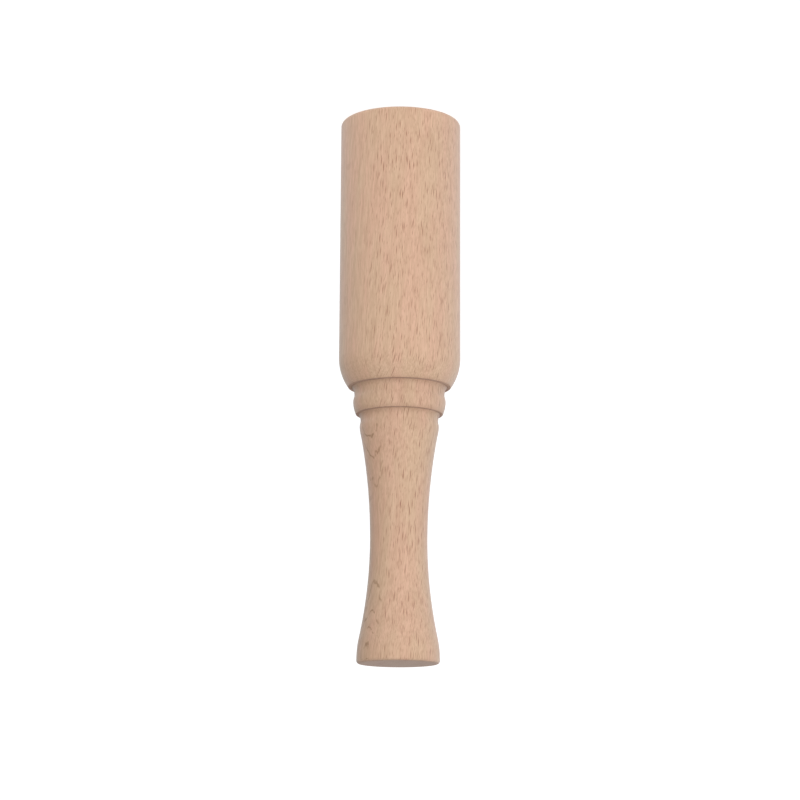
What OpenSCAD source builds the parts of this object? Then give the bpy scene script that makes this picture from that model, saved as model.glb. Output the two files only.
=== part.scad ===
// Wooden bar muddler, turned in two pieces that are glued together.
// It stands on the head's working face at z = 0, and the handle rises along +Z.
// All lengths are in millimetres.

/* [Head] */
// Diameter of the head
head_d = 45; // [44:0.5:56]
// Length of the head, from the working face to the shoulder's edge
head_len = 102; // [70:1:140]
// Radius of the rounded rim of the working face
rim_r = 1.5; // [0.5:0.1:4]
// Length of the rounded shoulder
shoulder_len = 11; // [8:0.5:16]
// How far the shoulder draws in, measured on the radius
shoulder_drop = 3.6; // [2:0.1:4.4]

/* [Collar] */
// Diameter of the collar at its crown
collar_d = 34.2; // [33.4:0.1:37]
// Length of the collar, from the shoulder to the collar's sharp edge
collar_len = 10.2; // [8:0.1:14]
// Diameter of the collar at its sharp edge
collar_edge_d = 32.1; // [31:0.1:34]
// Diameter of the neck between the shoulder and the collar's crown
collar_neck_d = 33.3; // [32:0.1:34]

/* [Grip] */
// Length of the handle outside the head
handle_len = 102; // [90:1:130]
// Diameter of the small bead after the collar
bead_d = 29.2; // [28.6:0.1:30.6]
// Diameter of the neck between the collar and the bead
bead_neck_d = 28.6; // [27:0.1:29.4]
// Diameter of the waist
waist_d = 21; // [18:0.5:25]
// Distance of the waist from the shoulder
waist_at = 57; // [45:1:65]
// Diameter of the flared end
end_d = 30.3; // [28:0.1:34]
// Radius of the rounded rim of the handle's end face
end_rim_r = 1.1; // [0.5:0.1:2]

/* [Joint] */
// Diameter of the tenon that is glued into the head
tenon_d = 16; // [12:0.5:20]
// Length of the tenon
tenon_len = 34; // [20:1:50]
// Gap for glue all round the tenon
glue_gap = 0.05; // [0.02:0.01:0.2]
// Space for glue past the tenon's end
glue_well = 1; // [0.5:0.5:3]

/* [Hidden] */
$fn = 96;

// Length and depth of the hollow under the shoulder, and of the one under the collar's edge
collar_cove = [3, 1.2];
bead_cove = [2.6, 1];

// Where the crowns and the ends of the waist's long hollow lie along the handle
collar_crown_at = 5.4;
bead_crown_at = collar_len + 4.6;
hollow_start_at = bead_crown_at + 5;
hollow_end_at = handle_len - 9.2;

// The hollow begins and ends this much inside the crowns of the bead and of the flared end
crown_drop = 0.8;
hollow_start_r = bead_d / 2 - crown_drop;
hollow_end_r = end_d / 2 - crown_drop;

// Stations along the handle's outline: [distance from the shoulder, radius, slope]
collar_neck = [collar_cove[0], collar_neck_d / 2, 0];
collar_crown = [collar_crown_at, collar_d / 2, 0];
collar_edge = [collar_len, collar_edge_d / 2, -0.42];
bead_neck = [collar_len + bead_cove[0], bead_neck_d / 2, 0];
bead_crown = [bead_crown_at, bead_d / 2, 0];
hollow_start = [hollow_start_at, hollow_start_r, hollow_slope(hollow_start_at, hollow_start_r)];
waist = [waist_at, waist_d / 2, 0];
hollow_end = [hollow_end_at, hollow_end_r, hollow_slope(hollow_end_at, hollow_end_r)];
end_crown = [handle_len - end_rim_r, end_d / 2, 0];

tenon_chamfer = 1;
cut_over = 1;

// Slope at one end of the hollow, which rises from the waist like a parabola
function hollow_slope(at, r) = 2 * (r - waist_d / 2) / (at - waist_at);

// A quarter circle of radius r round the point [x, z], as outline points [radius, height]
function quarter(x, z, r, start, steps = 8) =
    [for (i = [0 : steps]) let (a = start + 90 * i / steps) [x + r * cos(a), z + r * sin(a)]];

// A cove that leaves a flat face at height z and ends parallel to the axis at radius r
function cove(r, z, size, steps = 8) =
    [for (i = [0 : steps]) let (a = 90 * i / steps)
        [r + size[1] * (1 - sin(a)), z + size[0] * (1 - cos(a))]];

// A smooth stretch of outline from station a to station b, without a's own point
function stretch(a, b, steps) =
    let (run = b[0] - a[0])
    [for (i = [1 : steps]) let (s = i / steps, ease = 3 * pow(s, 2) - 2 * pow(s, 3)) [
        a[1] + (b[1] - a[1]) * ease
            + run * (a[2] * s * pow(1 - s, 2) - b[2] * pow(s, 2) * (1 - s)),
        a[0] + run * s
    ]];

// The rounded shoulder: an arc that leaves the barrel without a corner
function shoulder(steps = 14) =
    let (arc_r = (pow(shoulder_len, 2) + pow(shoulder_drop, 2)) / (2 * shoulder_drop))
    [for (i = [0 : steps]) let (run = shoulder_len * i / steps)
        [head_d / 2 - arc_r + sqrt(pow(arc_r, 2) - pow(run, 2)), head_len - shoulder_len + run]];

// The blind hole in the head for the tenon, open at the shoulder
module tenon_bore() {
    depth = tenon_len + glue_well;
    translate([0, 0, head_len - depth])
        cylinder(h = depth + cut_over, d = tenon_d + 2 * glue_gap);
}

// The plain round head that does the crushing
module head() {
    outline = concat(
        [[0, 0]],
        quarter(head_d / 2 - rim_r, rim_r, rim_r, -90),
        shoulder(),
        [[0, head_len]]
    );
    color("burlywood") difference() {
        rotate_extrude() polygon(outline);
        tenon_bore();
    }
}

// The handle: tenon, collar, bead, waist and flared end in one piece
module handle() {
    outline = concat(
        [
            [0, -tenon_len],
            [tenon_d / 2 - tenon_chamfer, -tenon_len],
            [tenon_d / 2, tenon_chamfer - tenon_len],
            [tenon_d / 2, 0]
        ],
        cove(collar_neck[1], 0, collar_cove),
        stretch(collar_neck, collar_crown, 4),
        stretch(collar_crown, collar_edge, 5),
        cove(bead_neck[1], collar_len, bead_cove),
        stretch(bead_neck, bead_crown, 4),
        stretch(bead_crown, hollow_start, 5),
        stretch(hollow_start, waist, 12),
        stretch(waist, hollow_end, 12),
        stretch(hollow_end, end_crown, 6),
        quarter(end_d / 2 - end_rim_r, end_crown[0], end_rim_r, 0),
        [[0, handle_len]]
    );
    color("tan") translate([0, 0, head_len])
        rotate_extrude() polygon(outline);
}

head();
handle();
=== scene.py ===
"""Looks of a turned wooden muddler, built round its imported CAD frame.

Lengths are in millimetres until a mesh, a light or the camera is placed.
"""

from math import cos, pi, radians, sin, sqrt

import bpy
from mathutils import Matrix, Vector


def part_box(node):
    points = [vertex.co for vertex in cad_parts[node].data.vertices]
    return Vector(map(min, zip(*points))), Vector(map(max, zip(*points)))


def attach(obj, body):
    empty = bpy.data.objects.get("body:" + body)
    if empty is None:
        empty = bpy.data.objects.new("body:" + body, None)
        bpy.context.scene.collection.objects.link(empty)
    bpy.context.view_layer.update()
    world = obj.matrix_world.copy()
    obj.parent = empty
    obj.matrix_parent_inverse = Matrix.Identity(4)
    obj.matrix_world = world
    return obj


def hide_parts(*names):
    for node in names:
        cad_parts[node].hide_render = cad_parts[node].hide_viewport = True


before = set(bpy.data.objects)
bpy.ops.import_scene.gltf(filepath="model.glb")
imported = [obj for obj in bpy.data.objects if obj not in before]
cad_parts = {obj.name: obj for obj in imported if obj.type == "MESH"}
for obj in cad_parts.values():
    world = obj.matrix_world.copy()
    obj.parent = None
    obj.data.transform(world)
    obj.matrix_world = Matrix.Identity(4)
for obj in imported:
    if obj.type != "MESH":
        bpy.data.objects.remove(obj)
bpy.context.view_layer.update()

MM = 0.001

# Sizes that the frame gives: the head's box, and the handle's with its tenon
head_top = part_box("head")[1] / MM
handle_bottom, handle_top = (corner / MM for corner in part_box("handle"))
HEAD_R = head_top.x
HEAD_LEN = head_top.z
TENON_END = handle_bottom.z
LENGTH = handle_top.z

# The turner's other sizes, the same as in the CAD part; names in _AT are heights above the working face
RIM_R = 1.5
SHOULDER_LEN = 11
SHOULDER_DROP = 3.6
NECK_R = 16.65
NECK_COVE_LEN = 3
NECK_COVE_DEPTH = 1.2
COLLAR_R = 17.1
COLLAR_CROWN_AT = HEAD_LEN + 5.4
COLLAR_EDGE_AT = HEAD_LEN + 10.2
COLLAR_EDGE_R = 16.05
COLLAR_EDGE_SLOPE = -0.42
BEAD_NECK_R = 14.3
BEAD_COVE_LEN = 2.6
BEAD_COVE_DEPTH = 1
BEAD_R = 14.6
BEAD_AT = COLLAR_EDGE_AT + 4.6
HOLLOW_START_AT = BEAD_AT + 5
WAIST_AT = HEAD_LEN + 57
WAIST_R = 10.5
HOLLOW_END_AT = LENGTH - 9.2
CROWN_DROP = 0.8
END_R = 15.15
END_RIM_R = 1.1
TENON_R = 8
TENON_CHAMFER = 1
GLUE_GAP = 0.05
GLUE_WELL = 1

# Sides of each turned mesh
SEGMENTS = 256

# How the blank lay in the tree: its turn about the axis, its lean, and its distance from the pith
GRAIN_TURN = radians(25)
TRUNK_LEAN = (radians(1.5), radians(-3))
PITH_DISTANCE = 70.0
RINGS_PER_MM = 0.36

# How far a wood ray runs out from the pith before it fades
RAY_DEPTH = 11.0

# Azimuth of the side of the grip that cuts through late wood, and the distance between the late layers
MARKED_SIDE = radians(50)
LATE_WOOD_SPACING = 1.2

# How light each blank's wood is
HEAD_TONE = 0.985
HANDLE_TONE = 0.945

# Colours of the wood, the studio and the light, in linear RGBA
WARM_WOOD = (0.685, 0.43, 0.30, 1)
COOL_WOOD = (0.66, 0.45, 0.30, 1)
STREAK = (0.56, 0.355, 0.225, 1)
FIBRE = (0.42, 0.235, 0.145, 1)
END_GRAIN = (0.42, 0.28, 0.215, 1)
RING = (0.4, 0.22, 0.13, 1)
RAY = (0.26, 0.085, 0.038, 1)
LATE_WOOD = (0.28, 0.145, 0.06, 1)
# Painted shade for the corners inside the two coves
CORNER_SHADE = (0.33, 0.18, 0.11, 1)
PORE = (0.3, 0.17, 0.11, 1)
COOL_SHEEN = (0.4, 0.75, 1.0, 1)
FLOOR_GREY = (0.25, 0.25, 0.25, 1)
GLOW_WHITE = (1, 1, 0.995, 1)
CARD_BLACK = (0.02, 0.02, 0.02, 1)

# The camera: its place, how far it looks down and its roll in degrees, and its lens and sensor
CAMERA_AT = (-0.22, -853.6, 281.8)
CAMERA_DOWN = 11.6
CAMERA_ROLL = 180.29
CAMERA_LENS = 106
CAMERA_SENSOR = 36


# ---- Outlines: lists of (radius, height), from the axis round the outside and back to the axis ----

def arc(centre_r, centre_z, radius, start, end, steps=10):
    """Points of a circular arc, with angles in degrees from straight outwards."""
    angles = [radians(start + (end - start) * i / steps) for i in range(steps + 1)]
    return [(centre_r + radius * cos(a), centre_z + radius * sin(a)) for a in angles]


def flat(r_from, r_to, z, steps=6):
    """Points across a flat face."""
    return [(r_from + (r_to - r_from) * i / steps, z) for i in range(steps + 1)]


def cove(radius, z, length, depth, steps=14):
    """A hollow that leaves a flat face at height z and ends parallel to the axis at the given radius."""
    angles = [pi / 2 * i / steps for i in range(steps + 1)]
    return [(radius + depth * (1 - sin(a)), z + length * (1 - cos(a))) for a in angles]


def stretch(a, b, steps):
    """A smooth stretch from station a, without its own point, to b; each is (height, radius, slope)."""
    (z_a, r_a, slope_a), (z_b, r_b, slope_b) = a, b
    run = z_b - z_a
    points = []
    for i in range(1, steps + 1):
        s = i / steps
        ease = 3 * s**2 - 2 * s**3
        bend = slope_a * s * (1 - s) ** 2 - slope_b * s**2 * (1 - s)
        points.append((r_a + (r_b - r_a) * ease + run * bend, z_a + run * s))
    return points


def softened(before, corner, after, size=0.3, steps=4):
    """The corner as a small round, as sanding leaves it."""
    start = step_towards(corner, before, size)
    end = step_towards(corner, after, size)
    controls = (start, corner, end)
    points = []
    for i in range(steps + 1):
        t = i / steps
        weights = ((1 - t) ** 2, 2 * t * (1 - t), t**2)
        points.append(tuple(sum(w * p[k] for w, p in zip(weights, controls)) for k in (0, 1)))
    return points


def step_towards(point, other, size):
    """The point that lies the given distance from point on the way to other."""
    away = Vector(other) - Vector(point)
    return tuple(Vector(point) + away.normalized() * size)


def head_outline():
    """The working face, the barrel, the shoulder and the bore for the tenon."""
    arc_r = (SHOULDER_LEN**2 + SHOULDER_DROP**2) / (2 * SHOULDER_DROP)
    edge = (HEAD_R - SHOULDER_DROP, HEAD_LEN)
    barrel = [(HEAD_R, RIM_R + (HEAD_LEN - SHOULDER_LEN - RIM_R) * i / 40) for i in range(1, 40)]
    shoulder = []
    for i in range(24):
        run = SHOULDER_LEN * i / 24
        shoulder.append((HEAD_R - arc_r + sqrt(arc_r**2 - run**2), HEAD_LEN - SHOULDER_LEN + run))
    bore_r = TENON_R + GLUE_GAP
    bore_end = TENON_END - GLUE_WELL
    return (
        flat(0, HEAD_R - RIM_R, 0)[:-1]
        + arc(HEAD_R - RIM_R, RIM_R, RIM_R, -90, 0)
        + barrel
        + shoulder
        + softened(shoulder[-1], edge, (bore_r, HEAD_LEN))
        + flat(NECK_R + NECK_COVE_DEPTH, bore_r, HEAD_LEN, 3)
        + [(bore_r, bore_end), (0, bore_end)]
    )


def hollow_station(at, radius):
    """One end of the waist's long hollow, which rises from the waist like a parabola."""
    return (at, radius, 2 * (radius - WAIST_R) / (at - WAIST_AT))


def handle_outline():
    """The tenon, the collar, the bead, the waisted grip and the flared end."""
    collar_neck = (HEAD_LEN + NECK_COVE_LEN, NECK_R, 0)
    collar_crown = (COLLAR_CROWN_AT, COLLAR_R, 0)
    collar_edge = (COLLAR_EDGE_AT, COLLAR_EDGE_R, COLLAR_EDGE_SLOPE)
    bead_neck = (COLLAR_EDGE_AT + BEAD_COVE_LEN, BEAD_NECK_R, 0)
    bead_crown = (BEAD_AT, BEAD_R, 0)
    hollow_start = hollow_station(HOLLOW_START_AT, BEAD_R - CROWN_DROP)
    waist = (WAIST_AT, WAIST_R, 0)
    hollow_end = hollow_station(HOLLOW_END_AT, END_R - CROWN_DROP)
    end_crown = (LENGTH - END_RIM_R, END_R, 0)
    tenon = [
        (0, TENON_END),
        (TENON_R - TENON_CHAMFER, TENON_END),
        (TENON_R, TENON_END + TENON_CHAMFER),
        (TENON_R, HEAD_LEN),
    ]
    collar = stretch(collar_crown, collar_edge, 12)[:-1]
    bead_cove = cove(BEAD_NECK_R, COLLAR_EDGE_AT, BEAD_COVE_LEN, BEAD_COVE_DEPTH)
    return (
        tenon
        + cove(NECK_R, HEAD_LEN, NECK_COVE_LEN, NECK_COVE_DEPTH)
        + stretch(collar_neck, collar_crown, 8)
        + collar
        + softened(collar[-1], (COLLAR_EDGE_R, COLLAR_EDGE_AT), bead_cove[0])
        + bead_cove
        + stretch(bead_neck, bead_crown, 8)
        + stretch(bead_crown, hollow_start, 12)
        + stretch(hollow_start, waist, 30)
        + stretch(waist, hollow_end, 30)
        + stretch(hollow_end, end_crown, 14)
        + arc(END_R - END_RIM_R, LENGTH - END_RIM_R, END_RIM_R, 0, 90)
        + flat(END_R - END_RIM_R, 0, LENGTH)[1:]
    )


# ---- Meshes ----

def turned(name, outline):
    """Spins an outline round the Z axis into a closed mesh."""
    points = []
    rings = []
    for radius, z in outline:
        count = SEGMENTS if radius > 0 else 1
        rings.append([len(points) + i for i in range(count)])
        for i in range(count):
            angle = 2 * pi * i / SEGMENTS
            points.append((radius * cos(angle) * MM, radius * sin(angle) * MM, z * MM))
    faces = []
    for low, high in zip(rings, rings[1:]):
        for i in range(SEGMENTS):
            j = (i + 1) % SEGMENTS
            below = [low[i % len(low)], low[j % len(low)]]
            above = [high[j % len(high)], high[i % len(high)]]
            faces.append(list(dict.fromkeys(below + above)))
    mesh = bpy.data.meshes.new(name)
    mesh.from_pydata(points, [], faces)
    mesh.shade_smooth()
    mesh.set_sharp_from_angle(angle=radians(40))
    piece = bpy.data.objects.new(name, mesh)
    bpy.context.collection.objects.link(piece)
    return piece


# ---- Materials ----

class Graph:
    """Adds nodes to a material's tree. An input is a number, a colour or another node's output socket."""

    def __init__(self, material):
        material.use_nodes = True
        self.tree = material.node_tree
        self.tree.nodes.clear()

    def add(self, kind, inputs=None, **settings):
        node = self.tree.nodes.new("ShaderNode" + kind)
        for key, value in settings.items():
            setattr(node, key, value)
        for key, value in (inputs or {}).items():
            if isinstance(value, bpy.types.NodeSocket):
                self.tree.links.new(value, node.inputs[key])
            else:
                node.inputs[key].default_value = value
        return node

    def math(self, operation, a, b=0.0):
        return self.add("Math", {0: a, 1: b}, operation=operation).outputs[0]

    def scaled(self, vector, factors):
        return self.add("VectorMath", {0: vector, 1: factors}, operation="MULTIPLY").outputs[0]

    def noise(self, vector, detail=2.0, roughness=0.5):
        inputs = {"Vector": vector, "Scale": 1.0, "Detail": detail, "Roughness": roughness}
        return self.add("TexNoise", inputs).outputs["Fac"]

    def ramp(self, value, low, high, to_low=0.0, to_high=1.0):
        """Maps low..high smoothly to to_low..to_high."""
        limits = {"From Min": low, "From Max": high, "To Min": to_low, "To Max": to_high}
        settings = {"interpolation_type": "SMOOTHSTEP"}
        return self.add("MapRange", {"Value": value, **limits}, **settings).outputs[0]

    def split(self, vector):
        """The X, Y and Z sockets of a vector."""
        return self.add("SeparateXYZ", {0: vector}).outputs

    def join(self, x=0.0, y=0.0):
        return self.add("CombineXYZ", {0: x, 1: y}).outputs[0]

    def length(self, vector):
        return self.add("VectorMath", {0: vector}, operation="LENGTH").outputs["Value"]

    def dot(self, a, b):
        return self.add("VectorMath", {0: a, 1: b}, operation="DOT_PRODUCT").outputs["Value"]

    def blend(self, factor, a, b, mode="MIX"):
        # Inputs 6 and 7 of a Mix node are its two colours
        inputs = {0: factor, 6: a, 7: b}
        return self.add("Mix", inputs, data_type="RGBA", blend_type=mode).outputs[2]


def in_tree(g, vector, kind="VECTOR", scale=1.0):
    """A vector turned to the tree's axes: X runs along the rings, Y out from the pith, Z up the trunk."""
    inputs = {"Vector": vector, "Rotation": (*TRUNK_LEAN, GRAIN_TURN), "Scale": (scale,) * 3}
    return g.add("Mapping", inputs, vector_type=kind).outputs[0]


def wood_space(g, place):
    """Position in the tree, in mm, with the slow wander of real grain."""
    straight = in_tree(g, place, "POINT", 1 / MM)
    slow = g.scaled(straight, (0.02, 0.02, 0.006))
    drift = g.add("TexNoise", {"Vector": slow, "Scale": 1.0, "Detail": 1.0})
    wander = g.scaled(drift.outputs["Color"], (7, 7, 0))
    return g.add("VectorMath", {0: straight, 1: wander}, operation="ADD").outputs[0]


def ray_flecks(g, space, spacing, size):
    """Wood rays: thin upright plates that run out from the pith, seen end on as short dark spindles.

    Spacing is how far apart they are along the rings and up the trunk, and size is how wide they are,
    as a share of the spacing.
    """
    parts = g.split(space)
    across = g.math("DIVIDE", parts[0], spacing[0])
    up = g.math("DIVIDE", parts[2], spacing[1])
    inputs = {"Vector": g.join(across, up), "Scale": 1.0, "Exponent": 1.15}
    cells = g.add("TexVoronoi", inputs, voronoi_dimensions="2D", distance="MINKOWSKI")
    # Three random values for each ray: its size, its strength and where it starts
    chance = g.add("SeparateColor", {0: cells.outputs["Color"]}).outputs
    depth = g.math("ADD", g.math("DIVIDE", parts[1], RAY_DEPTH), g.math("MULTIPLY", chance[2], 2.0))
    plate = g.ramp(g.math("PINGPONG", depth, 1.0), 0.1, 0.4)
    reach = g.math("MULTIPLY", plate, g.ramp(chance[0], 0.0, 1.0, size * 0.6, size))
    core = g.math("MULTIPLY", reach, 0.72)
    fleck = g.ramp(cells.outputs["Distance"], g.math("ADD", reach, 0.001), core)
    return g.math("MULTIPLY", fleck, g.ramp(chance[1], 0.0, 1.0, 0.65, 1.0))


def growth_rings(g, space):
    """0 in pale early wood, rising to 1 at each ring's late edge."""
    parts = g.split(space)
    radius = g.length(g.join(parts[0], g.math("ADD", parts[1], PITH_DISTANCE)))
    uneven = g.noise(g.scaled(g.join(radius), (0.11, 1, 1)), detail=1.0)
    years = g.math("ADD", g.math("MULTIPLY", radius, RINGS_PER_MM), g.math("MULTIPLY", uneven, 3.0))
    year = g.math("FRACT", years)
    rise = g.math("POWER", year, 2.5)
    return g.math("MULTIPLY", rise, g.ramp(year, 1.0, 0.9))


def late_wood_marks(g, place, height, normal, space):
    """Curved brown marks on one side of the grip, where its sloping flanks cut through late wood."""
    side = (sin(MARKED_SIDE), -cos(MARKED_SIDE), 0)
    wander = g.math("MULTIPLY", g.noise(g.scaled(space, (0.3, 0.3, 0.15))), 1.2)
    depth = g.math("ADD", g.math("MULTIPLY", g.dot(place, side), 1 / MM), wander)
    line = g.ramp(g.math("PINGPONG", depth, LATE_WOOD_SPACING / 2), 0.11, 0.03)
    facing = g.ramp(g.dot(normal, side), 0.9, 0.97)
    sloping = g.ramp(g.math("ABSOLUTE", g.split(normal)[2]), 0.05, 0.12)
    flank = g.math("MULTIPLY", facing, sloping)
    on_grip = g.ramp(height, BEAD_AT - 2, BEAD_AT)
    broken = g.ramp(g.noise(g.scaled(space, (0.6, 0.6, 0.35)), detail=2.0), 0.38, 0.52)
    shown = g.math("MULTIPLY", g.math("MULTIPLY", flank, on_grip), broken)
    return g.math("MULTIPLY", line, shown)


def from_axis(g, place):
    """Distance from the turning axis, in metres."""
    parts = g.split(place)
    return g.length(g.join(parts[0], parts[1]))


def painted_corner_shade(g, place, height, space):
    """How dark the corners inside the two coves are painted: a thin ragged line of painted shade, then
    softer painted shade round it.
    """
    ragged = g.noise(g.scaled(space, (1.6, 1.6, 0.3)))
    radius = g.math("MULTIPLY", from_axis(g, place), 1 / MM)
    corners = ((HEAD_LEN, NECK_R + NECK_COVE_DEPTH), (COLLAR_EDGE_AT, BEAD_NECK_R + BEAD_COVE_DEPTH))
    total = 0.0
    for corner_at, corner_r in corners:
        above = g.math("SUBTRACT", height, corner_at)
        outside = g.math("SUBTRACT", radius, corner_r)
        distance = g.length(g.join(above, outside))
        # Painted shade: a thin ragged line right in the corner, and a softer spread of it round the corner
        line = g.ramp(distance, 0.45, 0.1, 0.0, g.ramp(ragged, 0.4, 0.6, 0.25, 0.75))
        shade_spread = g.ramp(g.math("ADD", distance, ragged), 3.0, 1.0, 0.0, 0.22)
        total = g.math("ADD", total, g.math("MAXIMUM", shade_spread, line))
    return total


def turning_marks(g, place):
    """Fine rings that the gouge and sandpaper leave round the axis."""
    up = g.math("MULTIPLY", g.split(place)[2], 1.7 / MM)
    outward = g.math("MULTIPLY", from_axis(g, place), 1.9 / MM)
    return g.noise(g.join(g.math("ADD", up, outward)), detail=3.0, roughness=0.7)


def visible_rays(g, space, lie, end_grain):
    """Both sizes of ray flecks, strongest where the surface lies along the rings."""
    small = ray_flecks(g, space, spacing=(0.5, 6.0), size=0.2)
    large = ray_flecks(g, space, spacing=(0.66, 12.5), size=0.21)
    rays = g.math("MAXIMUM", large, g.math("MULTIPLY", small, 0.65))
    flat_sawn = g.ramp(g.math("ABSOLUTE", lie[1]), 0.3, 0.95, 0.12, 1.0)
    shown = g.math("MAXIMUM", flat_sawn, g.math("MULTIPLY", end_grain, 0.55))
    return g.math("MULTIPLY", rays, shown)


def beech(name, tone):
    """Fine-sanded, unfinished beech: the grain runs through the whole solid."""
    material = bpy.data.materials.new(name)
    g = Graph(material)
    coordinates = g.add("TexCoord").outputs
    place = coordinates["Object"]
    normal = coordinates["Normal"]
    height = g.math("MULTIPLY", g.split(place)[2], 1 / MM)
    space = wood_space(g, place)

    # The surface's normal in the tree: its parts along the rings, out from the pith and up the trunk
    lie = g.split(in_tree(g, normal))
    end_grain = g.ramp(g.math("ABSOLUTE", lie[2]), 0.6, 0.98)

    # Patterns of the wood; the factors are cycles per mm, across the grain twice and then along it
    broad = g.noise(g.scaled(space, (0.16, 0.16, 0.03)))
    streaks = g.noise(g.scaled(space, (1.0, 1.0, 0.12)), detail=2.0)
    fibres = g.noise(g.scaled(space, (2.6, 2.6, 0.18)), detail=2.0, roughness=0.7)
    rings = growth_rings(g, space)
    rays = visible_rays(g, space, lie, end_grain)
    marks = late_wood_marks(g, place, height, normal, space)
    # Painted shade in the corners inside the two coves
    dark = painted_corner_shade(g, place, height, space)
    pores = g.math("MULTIPLY", end_grain, g.ramp(g.noise(g.scaled(space, (4, 4, 4))), 0.5, 0.7))

    colour = g.blend(g.ramp(broad, 0.35, 0.65), WARM_WOOD, COOL_WOOD)
    layers = (
        (g.ramp(streaks, 0.3, 0.75, 0.0, 0.3), STREAK),
        (g.ramp(fibres, 0.35, 0.7, 0.0, 0.45), FIBRE),
        (g.math("MULTIPLY", end_grain, 0.5), END_GRAIN),
        (g.math("MULTIPLY", rings, g.ramp(end_grain, 0.0, 1.0, 0.2, 0.38)), RING),
        (g.math("MULTIPLY", rays, 0.95), RAY),
        (g.math("MULTIPLY", marks, 0.65), LATE_WOOD),
        # Painted shade in the cove corners
        (dark, CORNER_SHADE),
        (g.math("MULTIPLY", pores, 0.35), PORE),
    )
    for amount, tint in layers:
        colour = g.blend(amount, colour, tint)
    colour = g.blend(1.0, colour, (tone, tone, tone, 1), "MULTIPLY")

    relief = g.math("SUBTRACT", g.math("MULTIPLY", fibres, 0.4), rays)
    relief = g.math("ADD", relief, g.math("MULTIPLY", turning_marks(g, place), 0.35))
    bump = g.add("Bump", {"Height": relief, "Strength": 0.25, "Distance": 0.08 * MM}).outputs[0]
    roughness = g.math("ADD", g.ramp(fibres, 0.3, 0.7, 0.5, 0.64), g.math("MULTIPLY", dark, 0.4))
    roughness = g.math("ADD", roughness, g.math("MULTIPLY", end_grain, 0.3))
    surface = {"Base Color": colour, "Roughness": roughness, "Normal": bump}
    sheen = {"Sheen Weight": g.ramp(end_grain, 0.0, 1.0, 0.22, 0.1), "Sheen Tint": COOL_SHEEN}
    shader = g.add("BsdfPrincipled", {**surface, **sheen})
    g.add("OutputMaterial", {"Surface": shader.outputs[0]})
    return material


def matte(name, colour, glow=0.0):
    """A plain dull surface; with a glow, it is lit from behind like a light table."""
    material = bpy.data.materials.new(name)
    g = Graph(material)
    surface = {"Base Color": colour, "Roughness": 0.9}
    light = {"Emission Color": GLOW_WHITE, "Emission Strength": glow}
    shader = g.add("BsdfPrincipled", {**surface, **light})
    g.add("OutputMaterial", {"Surface": shader.outputs[0]})
    material.cycles.emission_sampling = "NONE"
    return material


# ---- The muddler ----

def add_piece(name, node, outline, material):
    """Makes a turned piece that stands in for one of the frame's nodes."""
    piece = turned(name, outline)
    piece.data.materials.append(material)
    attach(piece, "root")
    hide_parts(node)


add_piece("turned_head", "head", head_outline(), beech("beech_head", HEAD_TONE))
add_piece("turned_handle", "handle", handle_outline(), beech("beech_handle", HANDLE_TONE))


# ---- Studio ----

def add_backdrop():
    """A round floor whose edge curves up into a wall, so that no horizon shows from any side."""
    floor_r = 2500
    bend_r = 900
    wall_top = 2600
    bend = arc(floor_r, bend_r, bend_r, -90, 0, 24)
    outline = [(0, 0)] + bend + [(floor_r + bend_r, wall_top)]
    backdrop = turned("backdrop", outline)
    backdrop.data.materials.append(matte("backdrop_white", FLOOR_GREY, glow=0.89))


def direction(azimuth, elevation):
    """Unit vector from the muddler outwards, with angles in degrees; azimuth 0 is the camera's side."""
    a = radians(azimuth)
    e = radians(elevation)
    return Vector((sin(a) * cos(e), -cos(a) * cos(e), sin(e)))


def graded_card(name, soft_edge):
    """Black card that thins out to nothing towards its foot, so that it leaves no line on the floor."""
    material = bpy.data.materials.new(name)
    g = Graph(material)
    height = g.split(g.add("TexCoord").outputs["Object"])[2]
    black = g.add("BsdfDiffuse", {"Color": CARD_BLACK}).outputs[0]
    clear = g.add("BsdfTransparent").outputs[0]
    mixed = g.add("MixShader", {0: g.ramp(height, 0.0, soft_edge), 1: clear, 2: black})
    g.add("OutputMaterial", {"Surface": mixed.outputs[0]})
    return material


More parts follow.
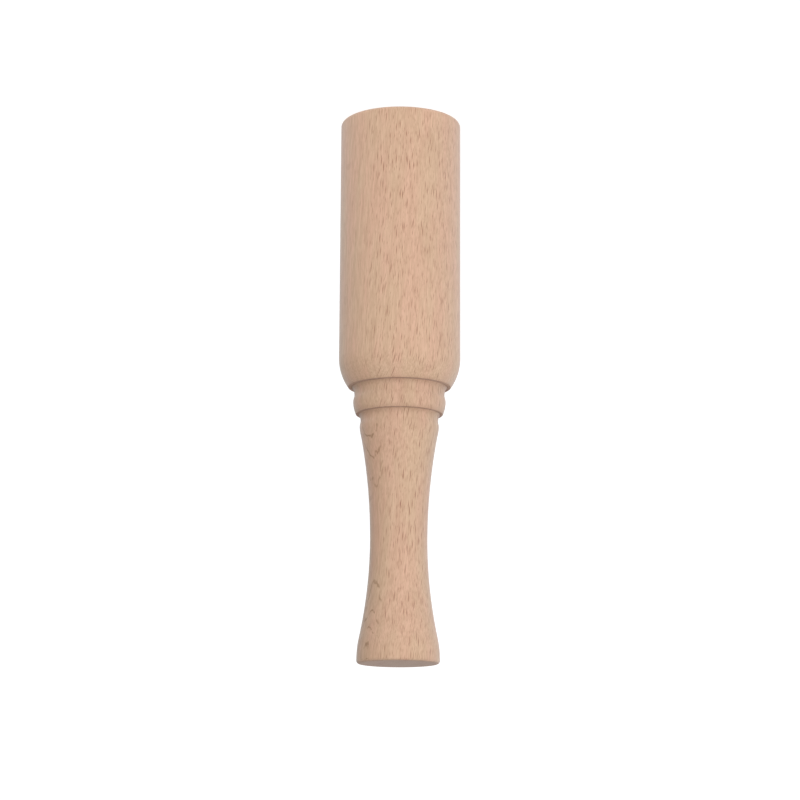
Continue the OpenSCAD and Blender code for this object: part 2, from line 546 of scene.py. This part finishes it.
def add_flag(name, azimuth, distance, width, height):
    """A black card that stands on the floor facing the muddler, and keeps some light off that side.

    Its distance, width and height are in metres.
    """
    away = direction(azimuth, 0)
    half = Vector((-away.y, away.x, 0)) * width / 2
    foot = away * distance
    top = Vector((0, 0, height))
    corners = [foot - half, foot + half, foot + half + top, foot - half + top]
    mesh = bpy.data.meshes.new(name)
    mesh.from_pydata(corners, [], [(0, 1, 2, 3)])
    mesh.materials.append(graded_card(name + "_black", soft_edge=0.09))
    flag = bpy.data.objects.new(name, mesh)
    flag.visible_camera = False
    bpy.context.collection.objects.link(flag)


def add_softbox(name, azimuth, elevation, distance, size, power):
    """A square area light that faces the middle of the muddler; distance and size are in metres."""
    away = direction(azimuth, elevation)
    light = bpy.data.lights.new(name, "AREA")
    light.size = size
    light.energy = power
    box = bpy.data.objects.new(name, light)
    box.location = Vector((0, 0, LENGTH / 2 * MM)) + away * distance
    box.rotation_euler = away.to_track_quat("Z", "Y").to_euler()
    box.visible_camera = False
    bpy.context.collection.objects.link(box)


def add_world(strength):
    """Even white light from all round."""
    world = bpy.data.worlds.new("studio_air")
    world.use_nodes = True
    background = world.node_tree.nodes["Background"]
    background.inputs["Color"].default_value = (1, 1, 1, 1)
    background.inputs["Strength"].default_value = strength
    bpy.context.scene.world = world


def add_camera():
    """In front of the handle's end and looking down the muddler, rolled so that the head is at the top."""
    data = bpy.data.cameras.new("camera")
    data.sensor_width = CAMERA_SENSOR
    data.lens = CAMERA_LENS
    data.clip_end = 20
    camera = bpy.data.objects.new("camera", data)
    place = Matrix.Translation(Vector(CAMERA_AT) * MM)
    pitch = Matrix.Rotation(radians(90 - CAMERA_DOWN), 4, "X")
    roll = Matrix.Rotation(radians(CAMERA_ROLL), 4, "Z")
    camera.matrix_world = place @ pitch @ roll
    bpy.context.collection.objects.link(camera)
    bpy.context.scene.camera = camera


add_backdrop()
add_world(0.35)
add_flag("left_flag", azimuth=92, distance=0.35, width=0.7, height=0.6)
add_softbox("key_light", azimuth=30, elevation=45, distance=1.2, size=0.9, power=4.0)
add_softbox("fill_light", azimuth=-35, elevation=5, distance=1.2, size=0.9, power=1.5)
add_camera()
bpy.context.scene.view_settings.view_transform = "Standard"
